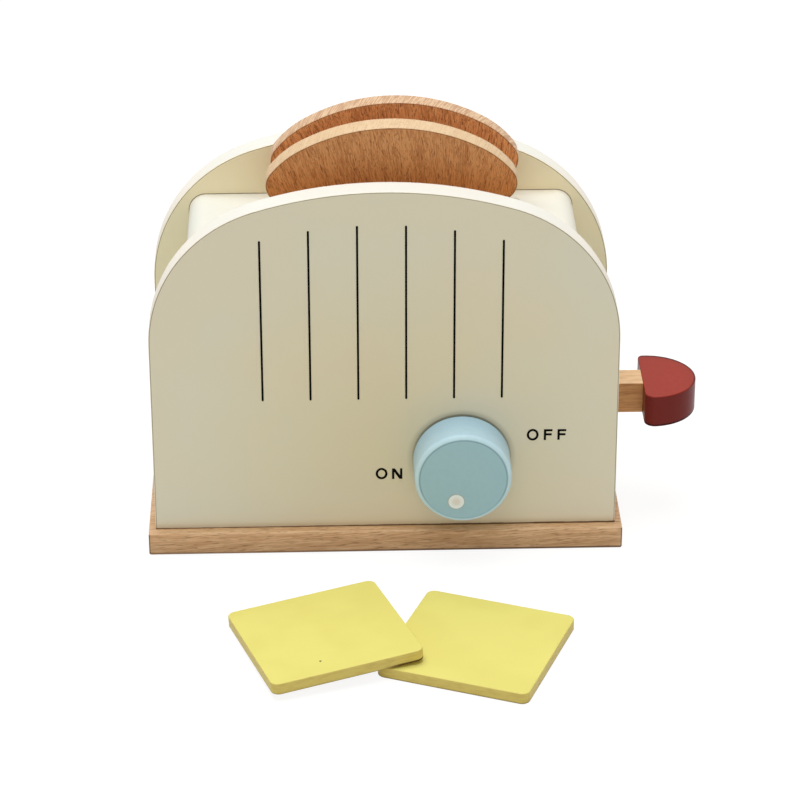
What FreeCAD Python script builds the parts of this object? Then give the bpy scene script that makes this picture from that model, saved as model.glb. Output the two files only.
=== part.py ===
"""Wooden toy toaster: two rounded panels on a beech base, a casing with two bread slots between
them, a sprung lever and tray, a turning knob, two bread slices and two square cheese slices.

Millimetres. +Z is up, the knob faces -Y and the lever handle points to +X. The origin is the
centre of the base board's underside.
"""
import FreeCAD, Part
import math
import os

V = FreeCAD.Vector

# ---- base board -----------------------------------------------------------------------------
base_thickness = 9.8
base_side_overhang = 2.85      # past the panels' straight sides, on the left and right
base_end_overhang = 4.8        # past the panels' outer faces, in front and behind
base_edge_round = 0.9

# ---- front and rear panels ------------------------------------------------------------------
panel_width = 190.0
panel_height = 150.3           # above the base board
panel_thickness = 10.4
panel_gap = 52.9               # clear distance between the two panels
shoulder_radius = 60.8         # round shoulders at the top corners
crown_radius = 174.8           # the flatter arc along the top
panel_edge_round = 0.6

# ---- casing between the panels --------------------------------------------------------------
casing_inset = 15.7            # the casing's sides lie this far inside the panels' sides
casing_height = 122.7          # top of the top board above the base board
top_board_thickness = 9.0
side_board_thickness = 9.0
casing_corner_round = 7.0
bread_slot_end_play = 0.6       # past the widest part of a slice, at each end
bread_slot_corner = 2.0
bread_slot_chamfer = 0.8
bread_slot_clearance = 0.6     # beside a slice, on each face

# ---- dowels that join the casing to the panels ----------------------------------------------
dowel_radius = 3.0
dowel_in_panel = 6.0
dowel_in_board = 12.0
dowel_low_height = 26.0        # above the base board
dowel_high_height = 92.0
glue_clearance = 0.05          # round a glued dowel, and at the end of its hole

# ---- screws ---------------------------------------------------------------------------------
screw_shank_radius = 1.6
screw_head_radius = 3.4
screw_head_height = 2.4
screw_recess_reach = 2.1       # each arm of the cross recess, from the middle
screw_recess_width = 0.9
screw_recess_depth = 1.2
screw_clearance = 0.05
base_screw_length = 28.0
base_screw_spacing = 30.0      # between the two screws under one side board

# ---- printed slit lines on the front --------------------------------------------------------
slit_count = 6
slit_pitch = 19.4
slit_width = 0.85
slit_centre_x = -1.1
slit_bottom = 58.7             # above the base board
slit_top = 136.1
slit_arc_radius = 181.0        # the tops follow this arc
slit_arc_centre_x = -2.6
print_thickness = 0.12

# ---- lever bar, handle and tray -------------------------------------------------------------
lever_width = 12.8             # along Y
lever_height = 13.55           # along Z
lever_bottom = 35.15           # above the base board, with the lever up
lever_travel = 30.0
lever_side_clearance = 0.4     # in its slot and groove
lever_bottom_clearance = 0.6   # under the bar with the lever down
lever_reach = 28.8             # from the casing's side to the handle
lever_edge_round = 0.4
groove_depth = 5.0
groove_end_clearance = 0.5
tray_thickness = 8.4
tray_depth = 39.6
tray_end_clearance = 0.8
tray_edge_round = 1.0
tray_screw_spacing = 80.0
tray_screw_bite = 5.5          # how far the screws enter the tray
rib_width = 3.0
rib_height = 8.0
rib_length = 96.0
rib_top_round = 0.7
handle_radius = 19.5
handle_chord_offset = 3.0      # from the handle's round centre back to its flat side
handle_overlap = 0.15          # handle above and below the bar
handle_front_corner_round = 4.2
handle_rear_corner_round = 2.2
handle_edge_round = 0.5
handle_dowel_radius = 3.0
handle_dowel_depth = 11.0      # into the bar and into the handle

# ---- return springs and their screw eyes ----------------------------------------------------
spring_inset = 8.3             # from a side board's inner face to the spring's middle
spring_radius = 3.0            # centre line of the coil
spring_wire_radius = 0.4
spring_arm_share = 0.95        # of the wire's radius, where it crosses to the middle
spring_bend_share = 1.06       # of the wire's radius, where it is bent sharply
spring_turns = 16
eye_ring_radius = 2.2
eye_wire_radius = 0.7
eye_shank_length = 6.0
loop_play = 0.05               # between a spring's loop and its eye

# ---- knob -----------------------------------------------------------------------------------
knob_x = 31.2
knob_height = 31.05            # axis above the base board
knob_radius = 19.8
knob_length = 18.0
knob_front_round = 2.3
knob_back_round = 0.8
knob_gap = 0.4                 # between the knob and the panel, and at the washer
axle_radius = 4.0
axle_running_clearance = 0.08
axle_in_knob = 13.0
washer_radius = 8.0
washer_thickness = 1.2
washer_edge_round = 0.3
knob_screw_length = 14.0
dot_radius = 3.45
dot_offset = 10.5              # from the knob's axis
dot_angle = 254.2              # degrees round from +X, seen from the front
dot_thickness = 0.15

# ---- bread slices ---------------------------------------------------------------------------
bread_thickness = 9.3
bread_height = 112.1
bread_crown_radius = 76.0
bread_crown_width = 101.0
bread_shoulder_radius = 40.0   # between the crown's arc and a lobe
bread_shoulder_width = 14.4    # from the slice's side in to where the crown's arc begins
bread_lobe_radius = 8.5
bread_neck_radius = 6.0
bread_body_width = 87.0
bread_foot_round = 7.0
bread_edge_round = 0.7
front_bread_x = 3.5
rear_bread_x = 5.3
front_bread_offset = 9.9       # slice's middle at the top board, in front of the casing's middle
rear_bread_offset = 11.1       # and behind it
bread_lean = 2.5               # degrees, each away from the other
bread_seat_gap = 0.1

# ---- cheese slices --------------------------------------------------------------------------
cheese_side = 62.0
cheese_thickness = 4.8
cheese_corner_round = 3.4
cheese_edge_round = 0.5
right_cheese_x = 33.8
right_cheese_y = -120.85
right_cheese_turn = -21.7      # degrees about +Z
left_cheese_x = -25.7
left_cheese_y = -116.75
left_cheese_turn = 17.9
cheese_rest_gap = 0.12         # where the left slice lies on the right one

# ---- places that follow from the sizes ------------------------------------------------------
base_top = base_thickness
base_width = panel_width + 2 * base_side_overhang
inner_y = panel_gap / 2
outer_y = inner_y + panel_thickness
base_depth = 2 * (outer_y + base_end_overhang)
casing_x = panel_width / 2 - casing_inset
inner_x = casing_x - side_board_thickness
spring_x = inner_x - spring_inset
casing_top = base_top + casing_height
casing_underside = casing_top - top_board_thickness
top_board_middle = casing_top - top_board_thickness / 2
side_board_middle = casing_x - side_board_thickness / 2
bar_bottom = base_top + lever_bottom
bar_top = bar_bottom + lever_height
bar_left = -inner_x - groove_depth + groove_end_clearance
bar_right = casing_x + lever_reach
tray_top = bar_top + tray_thickness
knob_z = base_top + knob_height
knob_back = -outer_y - knob_gap
knob_front = knob_back - knob_length
axle_inner_end = -inner_y + knob_gap
washer_face = axle_inner_end + washer_thickness
lean = math.radians(bread_lean)
bread_offset = {-1: front_bread_offset, 1: rear_bread_offset}
bread_x = {-1: front_bread_x, 1: rear_bread_x}
rib_x = (front_bread_x + rear_bread_x) / 2
rib_y = (rear_bread_offset - front_bread_offset) / 2
slot_half = bread_crown_width / 2 + bread_slot_end_play
slot_end = slot_half + max(abs(x) for x in bread_x.values())
dowel_heights = (base_top + dowel_low_height, base_top + dowel_high_height)


def block(x0, x1, y0, y1, z0, z1):
    return Part.makeBox(x1 - x0, y1 - y0, z1 - z0, V(x0, y0, z0))


def rod(radius, start, end):
    run = end - start
    return Part.makeCylinder(radius, run.Length, start, run)


def on_knob_axis(y):
    return V(knob_x, y, knob_z)


def polar(cx, cz, radius, degrees):
    """A point on a circle in the XZ plane."""
    a = math.radians(degrees)
    return V(cx + radius * math.cos(a), 0, cz + radius * math.sin(a))


def round_arc(cx, cz, radius, start, end):
    """An arc in the XZ plane from one angle to another, in degrees."""
    ends = [polar(cx, cz, radius, d) for d in (start, (start + end) / 2, end)]
    return Part.Arc(*ends).toShape()


def plate(edges, y0, y1):
    """A flat board whose outline lies in the XZ plane."""
    face = Part.Face(Part.Wire(Part.__sortEdges__(edges)))
    board = face.extrude(V(0, y1 - y0, 0))
    board.translate(V(0, y0, 0))
    return board


def ease(shape, radius, wanted):
    """Rounds the edges that wanted(edge) picks."""
    return shape.makeFillet(radius, [e for e in shape.Edges if wanted(e)])


def lies_flat(edge, axis):
    """True where an edge stays in one plane across the axis."""
    box = edge.BoundBox
    return {"x": box.XLength, "y": box.YLength, "z": box.ZLength}[axis] < 1e-4


def runs_along(edge, axis):
    """True where an edge is a straight line along the axis."""
    return all(lies_flat(edge, other) for other in "xyz" if other != axis)


def up(point, height):
    return point + V(0, 0, height)


def drilled(shape, holes):
    return shape.cut(Part.makeCompound(holes)).removeSplitter()


def screw_blank(head, length, extra=0.0):
    """A countersunk screw driven straight up from head, with no recess; extra makes its hole."""
    cone = Part.makeCone(screw_head_radius + extra, screw_shank_radius + extra, screw_head_height, head)
    return cone.fuse(rod(screw_shank_radius + extra, head, up(head, length + extra)))


def cross_recess(centre, axis):
    """Two bars that cut a screw's cross recess; axis is the direction of the screw, y or z."""
    long, wide, deep = screw_recess_reach, screw_recess_width / 2, screw_recess_depth
    bars = []
    for a, b in ((long, wide), (wide, long)):
        size = V(a, deep, b) if axis == "y" else V(a, b, deep)
        bars.append(Part.makeBox(2 * size.x, 2 * size.y, 2 * size.z, centre - size))
    return bars


def countersunk_screw(head, length):
    return drilled(screw_blank(head, length), cross_recess(head, "z"))


def screw_hole(head, length):
    return screw_blank(head, length, screw_clearance)


# ---- joinery shared by several pieces -------------------------------------------------------
def dowel_places():
    """Middle lines of the dowels, as x and z: two in each side board, one in each top board end."""
    sides = [(s * side_board_middle, z) for s in (-1, 1) for z in dowel_heights]
    top_x = (slot_end + casing_x) / 2
    return sides + [(s * top_x, top_board_middle) for s in (-1, 1)]


def dowels(facing, extra=0.0):
    """The dowels of the front (facing -1) or rear (facing 1) panel; extra makes their holes."""
    start, end = inner_y - dowel_in_board - extra, inner_y + dowel_in_panel + extra
    return [rod(dowel_radius + extra, V(x, facing * start, z), V(x, facing * end, z))
            for x, z in dowel_places()]


def base_screw_places():
    """Heads of the base screws: two under each side board."""
    return [V(s * side_board_middle, t * base_screw_spacing / 2, 0) for s in (-1, 1) for t in (-1, 1)]


def base_screw_holes():
    return [screw_hole(p, base_screw_length) for p in base_screw_places()]


def tray_screw_places():
    return [V(s * tray_screw_spacing / 2, 0, bar_bottom) for s in (-1, 1)]


def tray_screw_holes():
    return [screw_hole(p, lever_height + tray_screw_bite) for p in tray_screw_places()]


def eye_places(z):
    return [V(s * spring_x, 0, z) for s in (-1, 1)]


def eye_pilots(z, way):
    """Holes for the screw eyes' shanks, from the face at z; way is 1 for upwards, -1 for downwards."""
    depth = eye_shank_length + screw_clearance
    return [rod(eye_wire_radius + screw_clearance, p, up(p, way * depth)) for p in eye_places(z)]


# ---- base and panels ------------------------------------------------------------------------
def base_board():
    board = block(-base_width / 2, base_width / 2, -base_depth / 2, base_depth / 2, 0, base_top)
    board = ease(board, base_edge_round, lambda e: True)
    return drilled(board, base_screw_holes())


def panel_outline():
    half = panel_width / 2
    crown_z = base_top + panel_height - crown_radius
    shoulder_x = half - shoulder_radius
    link = crown_radius - shoulder_radius
    shoulder_z = crown_z + math.sqrt(link ** 2 - shoulder_x ** 2)
    meet = math.degrees(math.acos(shoulder_x / link))
    corners = [V(-half, 0, shoulder_z), V(-half, 0, base_top), V(half, 0, base_top), V(half, 0, shoulder_z)]
    straight = [Part.makeLine(a, b) for a, b in zip(corners, corners[1:])]
    return straight + [
        round_arc(shoulder_x, shoulder_z, shoulder_radius, 0, meet),
        round_arc(0, crown_z, crown_radius, meet, 180 - meet),
        round_arc(-shoulder_x, shoulder_z, shoulder_radius, 180 - meet, 180),
    ]


def panel(facing):
    y0, y1 = sorted((facing * inner_y, facing * outer_y))
    board = plate(panel_outline(), y0, y1)
    board = ease(board, panel_edge_round,
                 lambda e: lies_flat(e, "y") and e.CenterOfMass.z > base_top + panel_edge_round)
    return drilled(board, dowels(facing, glue_clearance))


def front_panel():
    bore = rod(axle_radius + axle_running_clearance, on_knob_axis(-outer_y - 1), on_knob_axis(-inner_y + 1))
    return drilled(panel(-1), [bore])


def slit_lines():
    """Six upright printed lines with round ends, their tops on a shallow arc."""
    lines = []
    for i in range(slit_count):
        x = slit_centre_x + (i - (slit_count - 1) / 2) * slit_pitch
        drop = slit_arc_radius - math.sqrt(slit_arc_radius ** 2 - (x - slit_arc_centre_x) ** 2)
        r = slit_width / 2
        low, high = base_top + slit_bottom + r, base_top + slit_top - drop - r
        edges = [
            round_arc(x, high, r, 0, 180), Part.makeLine(V(x - r, 0, high), V(x - r, 0, low)),
            round_arc(x, low, r, 180, 360), Part.makeLine(V(x + r, 0, low), V(x + r, 0, high)),
        ]
        lines.append(plate(edges, -outer_y - print_thickness, -outer_y))
    return Part.makeCompound(lines)


# ---- casing ---------------------------------------------------------------------------------
def slot_reach(side):
    """Near and far sides of a bread slot from the casing's middle, where a leaning slice slides through."""
    half = bread_thickness / 2 / math.cos(lean) + top_board_thickness / 2 * math.tan(lean)
    near = bread_offset[side] - half - bread_slot_clearance
    far = bread_offset[side] + half + bread_slot_clearance + lever_travel * math.tan(lean)
    return near, far


def slot_outline(side, outset, z):
    """A bread slot's outline at height z, grown by outset all round."""
    y0, y1 = sorted(side * y for y in slot_reach(side))
    half = slot_half + outset
    prism = block(bread_x[side] - half, bread_x[side] + half, y0 - outset, y1 + outset, z, z + 1)
    prism = ease(prism, bread_slot_corner + outset, lambda e: runs_along(e, "z"))
    return min(prism.Faces, key=lambda face: face.CenterOfMass.z).OuterWire


def bread_slot(side):
    """The slot through the top board, with its mouth chamfered."""
    low, high = casing_underside - 1, casing_top + 1
    hole = Part.Face(slot_outline(side, 0, low)).extrude(V(0, 0, high - low))
    bevel_foot = slot_outline(side, 0, casing_top - bread_slot_chamfer)
    bevel_mouth = slot_outline(side, bread_slot_chamfer + 1, high)
    return [hole, Part.makeLoft([bevel_foot, bevel_mouth], True, True)]


def top_board():
    board = block(-casing_x, casing_x, -inner_y, inner_y, casing_underside, casing_top)
    board = ease(board, casing_corner_round,
                 lambda e: runs_along(e, "y") and e.CenterOfMass.z > top_board_middle)
    holes = dowels(-1, glue_clearance) + dowels(1, glue_clearance) + eye_pilots(casing_underside, 1)
    return drilled(board, holes + bread_slot(-1) + bread_slot(1))


def lever_way(x0, x1):
    """The slot or groove that guides the lever bar; its upper end is the stop."""
    half = lever_width / 2 + lever_side_clearance
    return block(x0, x1, -half, half, bar_bottom - lever_travel - lever_bottom_clearance, bar_top)


def side_board(side):
    x0, x1 = sorted((side * inner_x, side * casing_x))
    board = block(x0, x1, -inner_y, inner_y, base_top, casing_underside)
    return drilled(board, dowels(-1, glue_clearance) + dowels(1, glue_clearance) + base_screw_holes())


def left_side_board():
    return drilled(side_board(-1), [lever_way(-inner_x - groove_depth, -inner_x + 1)])


def right_side_board():
    return drilled(side_board(1), [lever_way(inner_x - 1, casing_x + 1)])


# ---- lever, tray and springs ----------------------------------------------------------------
def lever_bar():
    half = lever_width / 2
    bar = block(bar_left, bar_right, -half, half, bar_bottom, bar_top)
    bar = ease(bar, lever_edge_round, lambda e: runs_along(e, "x"))
    return drilled(bar, tray_screw_holes() + [handle_dowel_hole()])


def handle_dowel_line():
    z = (bar_bottom + bar_top) / 2
    return V(bar_right - handle_dowel_depth, 0, z), V(bar_right + handle_dowel_depth, 0, z)


def handle_dowel():
    return rod(handle_dowel_radius, *handle_dowel_line())


def handle_dowel_hole():
    start, end = handle_dowel_line()
    gap = V(glue_clearance, 0, 0)
    return rod(handle_dowel_radius + glue_clearance, start - gap, end + gap)


def lever_handle():
    """A thick disc cut flat on the side of the toaster, with round corners at the cut."""
    centre_x = bar_right + handle_chord_offset
    low, high = bar_bottom - handle_overlap, bar_top + handle_overlap
    disc = Part.makeCylinder(handle_radius, high - low, V(centre_x, 0, low))
    reach = 2 * handle_radius
    grip = disc.common(block(bar_right, centre_x + reach, -reach, reach, low, high))
    for way, radius in ((-1, handle_front_corner_round), (1, handle_rear_corner_round)):
        grip = ease(grip, radius, lambda e: (
            runs_along(e, "z") and e.CenterOfMass.x < centre_x and way * e.CenterOfMass.y > 0))
    grip = ease(grip, handle_edge_round, lambda e: lies_flat(e, "z"))
    return drilled(grip, [handle_dowel_hole()])


def carriage_tray():
    half_x, half_y = inner_x - tray_end_clearance, tray_depth / 2
    board = block(-half_x, half_x, -half_y, half_y, bar_top, tray_top)
    board = ease(board, tray_edge_round, lambda e: runs_along(e, "x"))
    return drilled(board, tray_screw_holes() + eye_pilots(tray_top, -1))


def tray_centre_rib():
    """It stands midway between the two slices' feet."""
    half = rib_length / 2
    rib = block(rib_x - half, rib_x + half, rib_y - rib_width / 2, rib_y + rib_width / 2,
                tray_top, tray_top + rib_height)
    return ease(rib, rib_top_round, lambda e: runs_along(e, "x") and e.CenterOfMass.z > tray_top + rib_width)


def tray_screws():
    length = lever_height + tray_screw_bite
    return Part.makeCompound([countersunk_screw(p, length) for p in tray_screw_places()])


def base_screws():
    return Part.makeCompound([countersunk_screw(p, base_screw_length) for p in base_screw_places()])


def screw_eye(face, way):
    """A screw eye that stands on a face; way is 1 where its ring is above the face and -1 below."""
    ring_z = way * (eye_ring_radius + eye_wire_radius)
    ring = Part.makeTorus(eye_ring_radius, eye_wire_radius, up(face, ring_z), V(0, 1, 0))
    shank = rod(eye_wire_radius, up(face, -way * eye_shank_length), up(face, way * eye_wire_radius))
    return ring.fuse(shank).removeSplitter()


def upper_spring_hooks():
    return Part.makeCompound([screw_eye(p, -1) for p in eye_places(casing_underside)])


def lower_spring_hooks():
    return Part.makeCompound([screw_eye(p, 1) for p in eye_places(tray_top)])


def loop_height(face_z, way):
    """Middle of the spring's end loop that hangs in the eye on that face."""
    far_wire = face_z + way * (2 * eye_ring_radius + eye_wire_radius)
    return far_wire + way * (eye_ring_radius - eye_wire_radius - spring_wire_radius - loop_play)


def return_spring(side):
    """A tension spring between a tray eye and a top board eye, with a ring loop at each end."""
    x = side * spring_x
    low_loop, high_loop = loop_height(tray_top, 1), loop_height(casing_underside, -1)
    low, high = low_loop + eye_ring_radius, high_loop - eye_ring_radius
    path = Part.makeHelix((high - low) / spring_turns, high - low, spring_radius)
    path.translate(V(x, 0, low))
    start = V(x + spring_radius, 0, low)
    section = Part.Wire(Part.makeCircle(spring_wire_radius, start, V(0, 1, 0)))
    coil = Part.Wire(path.Edges).makePipeShell([section], True, True)
    ends = []
    for z, loop in ((low, low_loop), (high, high_loop)):
        middle, outside = V(x, 0, z), V(x + spring_radius, 0, z)
        ends.append(Part.makeTorus(eye_ring_radius, spring_wire_radius, V(x, 0, loop), V(1, 0, 0)))
        ends.append(rod(spring_wire_radius * spring_arm_share, middle, outside))
        ends += [Part.makeSphere(spring_wire_radius * spring_bend_share, p) for p in (middle, outside)]
    return coil.fuse(ends)


# ---- knob -----------------------------------------------------------------------------------
def knob():
    body = rod(knob_radius, on_knob_axis(knob_back), on_knob_axis(knob_front))
    for y, radius in ((knob_front, knob_front_round), (knob_back, knob_back_round)):
        body = ease(body, radius, lambda e: lies_flat(e, "y") and abs(e.BoundBox.YMin - y) < 1e-3)
    hole_end = on_knob_axis(knob_back - axle_in_knob - glue_clearance)
    return drilled(body, [rod(axle_radius + glue_clearance, on_knob_axis(knob_back + 1), hole_end)])


def knob_pointer_dot():
    spot = polar(knob_x, knob_z, dot_offset, dot_angle)
    return rod(dot_radius, V(spot.x, knob_front, spot.z), V(spot.x, knob_front - dot_thickness, spot.z))


def knob_axle():
    axle = rod(axle_radius, on_knob_axis(knob_back - axle_in_knob), on_knob_axis(axle_inner_end))
    return drilled(axle, [knob_screw_shank(screw_clearance)])


def knob_screw_shank(extra=0.0):
    """The screw's shank from the washer's outer face into the axle; extra makes its hole."""
    end = washer_face - knob_screw_length
    return rod(screw_shank_radius + extra, on_knob_axis(washer_face), on_knob_axis(end - extra))


def knob_washer():
    disc = rod(washer_radius, on_knob_axis(axle_inner_end), on_knob_axis(washer_face))
    disc = ease(disc, washer_edge_round, lambda e: lies_flat(e, "y"))
    return drilled(disc, [knob_screw_shank(screw_clearance)])


def knob_screw():
    """A pan-head screw with a cross recess, driven into the axle through the washer."""
    top = washer_face + screw_head_height
    head = ease(rod(screw_head_radius, on_knob_axis(washer_face), on_knob_axis(top)), screw_head_height / 2,
                lambda e: lies_flat(e, "y") and e.BoundBox.YMin > washer_face + screw_head_height / 2)
    return drilled(head.fuse(knob_screw_shank()), cross_recess(on_knob_axis(top), "y"))


# ---- bread and cheese -----------------------------------------------------------------------
def bread_outline():
    """A loaf slice in the XZ plane, its foot at z = 0: round crown, lobes at its ends, narrower body."""
    crown_z = bread_height - bread_crown_radius
    crown_end = math.degrees(math.acos((bread_crown_width / 2 - bread_shoulder_width) / bread_crown_radius))
    shoulder = polar(0, crown_z, bread_crown_radius - bread_shoulder_radius, crown_end)
    lobe_x = bread_crown_width / 2 - bread_lobe_radius
    link = bread_shoulder_radius - bread_lobe_radius
    shoulder_end = math.degrees(math.acos((lobe_x - shoulder.x) / link))
    lobe_z = polar(shoulder.x, shoulder.z, link, shoulder_end).z
    body_x = bread_body_width / 2
    neck_x = body_x + bread_neck_radius
    reach = bread_lobe_radius + bread_neck_radius
    neck_z = lobe_z - math.sqrt(reach ** 2 - (neck_x - lobe_x) ** 2)
    under = math.degrees(math.asin((neck_x - lobe_x) / reach))
    foot_x = body_x - bread_foot_round
    edges = [round_arc(0, crown_z, bread_crown_radius, crown_end, 180 - crown_end),
             Part.makeLine(V(-foot_x, 0, 0), V(foot_x, 0, 0))]
    half = [
        round_arc(shoulder.x, shoulder.z, bread_shoulder_radius, shoulder_end, crown_end),
        round_arc(lobe_x, lobe_z, bread_lobe_radius, under - 90, shoulder_end),
        round_arc(neck_x, neck_z, bread_neck_radius, 90 + under, 180),
        Part.makeLine(V(body_x, 0, neck_z), V(body_x, 0, bread_foot_round)),
        round_arc(foot_x, bread_foot_round, bread_foot_round, -90, 0),
    ]
    mirrored = [e.mirror(V(0, 0, 0), V(1, 0, 0)) for e in half]
    return edges + half + mirrored


def bread_slice(side):
    """A slice that leans outwards; its middle plane crosses the top board's middle at its offset."""
    loaf = plate(bread_outline(), -bread_thickness / 2, bread_thickness / 2)
    loaf = ease(loaf, bread_edge_round, lambda e: lies_flat(e, "y"))
    loaf.rotate(V(0, 0, 0), V(1, 0, 0), -side * bread_lean)
    flat_half = bread_thickness / 2 - bread_edge_round
    foot_drop = flat_half * math.sin(lean) + bread_edge_round * (1 - math.cos(lean))
    foot_z = tray_top + bread_seat_gap + foot_drop
    foot_y = side * (bread_offset[side] - (top_board_middle - foot_z) * math.tan(lean))
    loaf.translate(V(bread_x[side], foot_y, foot_z))
    return loaf


def cheese_square():
    half = cheese_side / 2
    square = block(-half, half, -half, half, 0, cheese_thickness)
    square = ease(square, cheese_corner_round, lambda e: runs_along(e, "z"))
    return ease(square, cheese_edge_round, lambda e: lies_flat(e, "z"))


def cheese_slice_right():
    square = cheese_square()
    square.rotate(V(0, 0, 0), V(0, 0, 1), right_cheese_turn)
    square.translate(V(right_cheese_x, right_cheese_y, 0))
    return square


def cheese_slice_left():
    """It lies with one corner on the floor and rises onto the near edge of the right slice."""
    square = cheese_square()
    square.rotate(V(0, 0, 0), V(0, 0, 1), left_cheese_turn)
    square.translate(V(left_cheese_x, left_cheese_y, 0))
    edge = math.radians(right_cheese_turn)
    across = V(math.cos(edge), math.sin(edge), 0)
    turn = math.radians(left_cheese_turn + 135)
    corner_reach = cheese_side / math.sqrt(2) - cheese_corner_round * (math.sqrt(2) - 1)
    corner = V(left_cheese_x, left_cheese_y, 0) + V(math.cos(turn), math.sin(turn), 0) * corner_reach
    near_edge = V(right_cheese_x, right_cheese_y, 0) - across * (cheese_side / 2)
    run = (near_edge - corner).dot(across)
    tilt = math.degrees(math.asin((cheese_thickness + cheese_rest_gap) / run))
    square.rotate(corner, V(0, 0, 1).cross(across), -tilt)
    square.translate(V(0, 0, -square.optimalBoundingBox(False, False).ZMin))
    return square


nodes = {
    "base_board": base_board(),
    "front_panel": front_panel(),
    "rear_panel": panel(1),
    "slit_lines": slit_lines(),
    "top_board": top_board(),
    "left_side_board": left_side_board(),
    "right_side_board": right_side_board(),
    "front_dowel_pins": Part.makeCompound(dowels(-1)),
    "rear_dowel_pins": Part.makeCompound(dowels(1)),
    "base_screws": base_screws(),
    "upper_spring_hooks": upper_spring_hooks(),
    "return_spring_left": return_spring(-1),
    "return_spring_right": return_spring(1),
    "lever_bar": lever_bar(),
    "lever_handle": lever_handle(),
    "handle_dowel": handle_dowel(),
    "carriage_tray": carriage_tray(),
    "tray_centre_rib": tray_centre_rib(),
    "tray_screws": tray_screws(),
    "lower_spring_hooks": lower_spring_hooks(),
    "knob": knob(),
    "knob_pointer_dot": knob_pointer_dot(),
    "knob_axle": knob_axle(),
    "knob_washer": knob_washer(),
    "knob_screw": knob_screw(),
    "bread_slice_front": bread_slice(-1),
    "bread_slice_rear": bread_slice(1),
    "cheese_slice_left": cheese_slice_left(),
    "cheese_slice_right": cheese_slice_right(),
}

os.makedirs("parts", exist_ok=True)
for name, shape in nodes.items():
    shape.exportStep(f"parts/{name}.step")
    box = shape.optimalBoundingBox(False, False)
    print(f"{name:22s} solids {len(shape.Solids):2d} valid {shape.isValid()} {shape.Volume / 1000:8.3f} cm3"
          f" x {box.XMin:7.1f} {box.XMax:7.1f} y {box.YMin:7.1f} {box.YMax:7.1f}"
          f" z {box.ZMin:6.1f} {box.ZMax:6.1f}")
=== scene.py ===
import bmesh
import bpy
import math
from mathutils import Matrix, Vector


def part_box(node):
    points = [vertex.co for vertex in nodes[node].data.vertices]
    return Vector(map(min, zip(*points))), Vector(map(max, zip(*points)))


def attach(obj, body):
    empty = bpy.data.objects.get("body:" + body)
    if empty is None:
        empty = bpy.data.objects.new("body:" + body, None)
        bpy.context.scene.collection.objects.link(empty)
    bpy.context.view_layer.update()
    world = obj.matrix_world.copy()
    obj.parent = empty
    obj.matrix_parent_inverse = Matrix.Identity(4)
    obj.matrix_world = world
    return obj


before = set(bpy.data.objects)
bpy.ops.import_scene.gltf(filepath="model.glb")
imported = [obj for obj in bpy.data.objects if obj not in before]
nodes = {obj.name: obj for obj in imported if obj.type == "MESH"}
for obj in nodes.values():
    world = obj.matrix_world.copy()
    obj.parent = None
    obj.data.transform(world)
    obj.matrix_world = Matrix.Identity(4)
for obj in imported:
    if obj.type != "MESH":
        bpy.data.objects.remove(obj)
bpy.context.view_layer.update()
mm = 0.001
print("frame loaded:", len(nodes), "nodes")


# small helpers for pieces and shader trees; sizes and places in shaders are in mm

def pieceFrom(name, shape):     # a finished bmesh becomes an object at the origin
    data = bpy.data.meshes.new(name)
    shape.to_mesh(data)
    shape.free()
    piece = bpy.data.objects.new(name, data)
    bpy.context.scene.collection.objects.link(piece)
    return piece


def boxOf(name):     # a node's low and high corners in mm
    return [Vector(corner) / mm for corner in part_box(name)]


def addNode(tree, kind, **values):     # each value goes to the input of that name, or to a setting
    node = tree.nodes.new(kind)
    for key, value in values.items():
        if key in node.inputs:
            node.inputs[key].default_value = value
        else:
            setattr(node, key, value)
    return node


def feed(tree, sockets, values):     # links what comes from a node and writes what is a plain value
    for socket, value in zip(sockets, values):
        if isinstance(value, bpy.types.NodeSocket):
            tree.links.new(value, socket)
        else:
            socket.default_value = value


def calc(tree, operation, *values):
    node = addNode(tree, "ShaderNodeMath", operation=operation)
    feed(tree, node.inputs, values)
    return node.outputs[0]


def minus(tree, value, other):
    return calc(tree, "SUBTRACT", value, other)


def times(tree, value, *others):
    for other in others:
        value = calc(tree, "MULTIPLY", value, other)
    return value


def largest(tree, value, *others):
    for other in others:
        value = calc(tree, "MAXIMUM", value, other)
    return value


def blend(tree, first, second, weight):     # the weight is the first value's, the rest is the second's
    return calc(tree, "MULTIPLY_ADD", first, weight, times(tree, second, 1 - weight))


def between(tree, value, start, end, low=0.0, high=1.0):     # a smooth step from low to high
    node = addNode(tree, "ShaderNodeMapRange", interpolation_type="SMOOTHSTEP")
    feed(tree, node.inputs, (value, start, end, low, high))
    return node.outputs[0]


def fade(tree, value, start, end, high=1.0):     # a smooth step from high down to nothing
    return between(tree, value, start, end, high, 0.0)


def linear(colour):     # screen values from 0 to 255 as Blender's linear ones
    return (*(((c / 255 + 0.055) / 1.055) ** 2.4 for c in colour), 1)


def asColour(colour, raw=False):     # raw values are linear already, as a tint to multiply with
    if isinstance(colour, bpy.types.NodeSocket) or len(colour) == 4:
        return colour
    return (*colour, 1) if raw else linear(colour)


def mixed(tree, share, first, second, how="MIX", raw=False):     # share is the second colour's
    node = addNode(tree, "ShaderNodeMix", data_type="RGBA", blend_type=how)
    pair = [asColour(c, raw) for c in (first, second)]
    feed(tree, (node.inputs["Factor"], node.inputs[6], node.inputs[7]), (share, *pair))
    return node.outputs[2]


def spotInMillimetres(tree):
    place = addNode(tree, "ShaderNodeTexCoord")
    scaled = addNode(tree, "ShaderNodeVectorMath", operation="SCALE", Scale=1 / mm)
    tree.links.new(place.outputs["Object"], scaled.inputs[0])
    return scaled.outputs[0]


def parts(tree, vector):     # x, y and z of a vector
    node = addNode(tree, "ShaderNodeSeparateXYZ")
    tree.links.new(vector, node.inputs[0])
    return node.outputs[:]


def along(tree, vector, axis):     # only one of them
    return parts(tree, vector)["xyz".index(axis)]


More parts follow.
